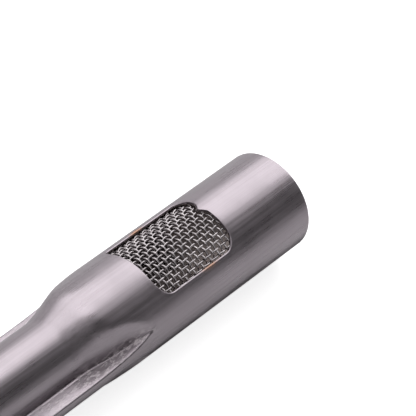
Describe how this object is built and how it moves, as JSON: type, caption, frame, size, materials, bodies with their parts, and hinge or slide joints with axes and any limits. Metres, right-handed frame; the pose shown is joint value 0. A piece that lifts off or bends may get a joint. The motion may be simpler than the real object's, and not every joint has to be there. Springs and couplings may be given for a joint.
{
  "type": "gas grill burner tube",
  "caption": "Straight stainless gas burner tube with a screened air window, a crimped venturi throat, side gas ports and a rear mounting tab.",
  "frame": {"origin": "centre of the open inlet mouth", "axes": "+X along the tube out of the inlet mouth, +Z out through the middle of the air window"},
  "size_m": [0.422, 0.0254, 0.0254],
  "materials": {
    "tube_steel": "brushed along the tube",
    "screen_wire": "drawn wire",
    "plug_steel": "pressed",
    "tab_steel": "sheared and bent",
    "weld_bead": "heat tinted weld"
  },
  "bodies": {
    "root": {"burner_tube": "tube_steel", "screen_long_wires": "screen_wire", "screen_cross_wires": "screen_wire", "end_plug": "plug_steel", "rear_tab": "tab_steel", "plug_tack_welds": "weld_bead", "tab_weld_beads": "weld_bead"}
  },
  "joints": []
}
